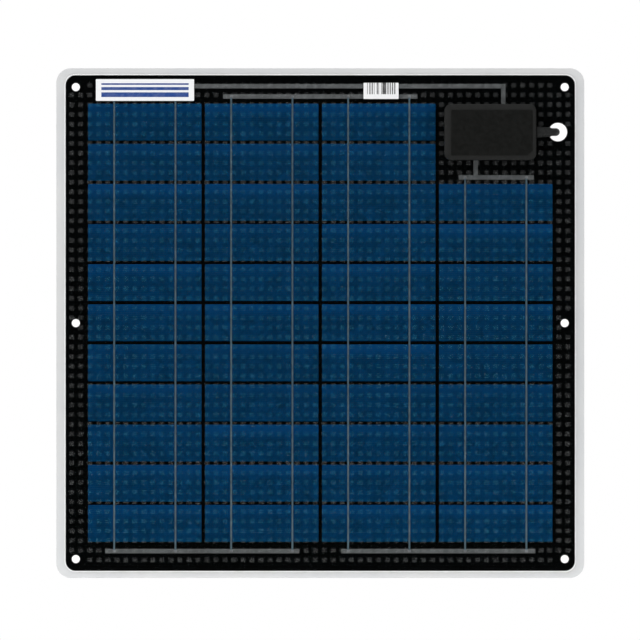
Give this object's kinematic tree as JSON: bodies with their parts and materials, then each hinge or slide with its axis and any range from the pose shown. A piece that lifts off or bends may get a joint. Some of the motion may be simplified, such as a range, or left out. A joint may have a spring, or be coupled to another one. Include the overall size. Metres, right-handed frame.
{
  "type": "solar panel",
  "caption": "Flat walk-on solar panel: strings of cut cells under dotted clear film on a white plate with fixing holes, a lidded junction box and a lead through the plate.",
  "frame": {"origin": "centre of the carrier plate's flat rear face", "axes": "+X along the panel's width, to the junction box's side; +Y out of the rear face, towards what the panel is fixed to; +Z along its height, to the junction box's end"},
  "size_m": [0.58, 0.0674, 0.56],
  "materials": {
    "white_plate": "satin",
    "film": "satin",
    "back_film": "matte",
    "encapsulant": "satin",
    "silicon": "satin",
    "tinned_copper": "satin",
    "sealant": "satin",
    "label": "matte",
    "box_plastic": "satin",
    "foam": "matte",
    "gasket": "matte",
    "block_plastic": "matte",
    "brass": "satin",
    "steel": "satin",
    "diode_epoxy": "satin",
    "sheath": "matte",
    "core_red": "satin",
    "core_black": "satin",
    "tie": "satin"
  },
  "bodies": {
    "panel": {"carrier_plate": "white_plate", "back_sheet": "back_film", "rear_encapsulant": "encapsulant", "cell_string_1": "silicon", "cell_string_2": "silicon", "cell_string_3": "silicon", "cell_string_4": "silicon", "bus_ribbon_lower_left": "tinned_copper", "bus_ribbon_lower_right": "tinned_copper", "bus_ribbon_upper": "tinned_copper", "lead_ribbon_positive": "tinned_copper", "lead_ribbon_negative": "tinned_copper", "front_encapsulant": "encapsulant", "front_sheet": "film", "edge_seal": "sealant", "type_label": "label", "code_label": "label", "box_adhesive_pad": "foam", "box_base": "box_plastic", "lid_gasket": "gasket", "terminal_block": "block_plastic", "terminal_bar_positive": "brass", "terminal_bar_negative": "brass", "terminal_screw_positive": "steel", "terminal_screw_negative": "steel", "lug_positive": "tinned_copper", "lug_negative": "tinned_copper", "bypass_diode": "diode_epoxy", "cable_clamp": "box_plastic", "clamp_screw_1": "steel", "clamp_screw_2": "steel", "strain_relief": "sheath", "inner_sheath": "sheath", "inner_core_positive": "core_red", "inner_core_negative": "core_black", "cable_lead": "sheath", "cable_coil": "sheath", "cable_end": "sheath", "coil_tie": "tie", "end_core_positive": "core_red", "end_core_negative": "core_black", "ferrule_positive": "tinned_copper", "ferrule_negative": "tinned_copper"},
    "lid": {"box_lid": "box_plastic"}
  },
  "joints": [
    {"name": "lid_lift", "type": "slide", "parent": "panel", "child": "lid", "axis": [0, -1, 0], "range_m": [0, 0.04]}
  ]
}
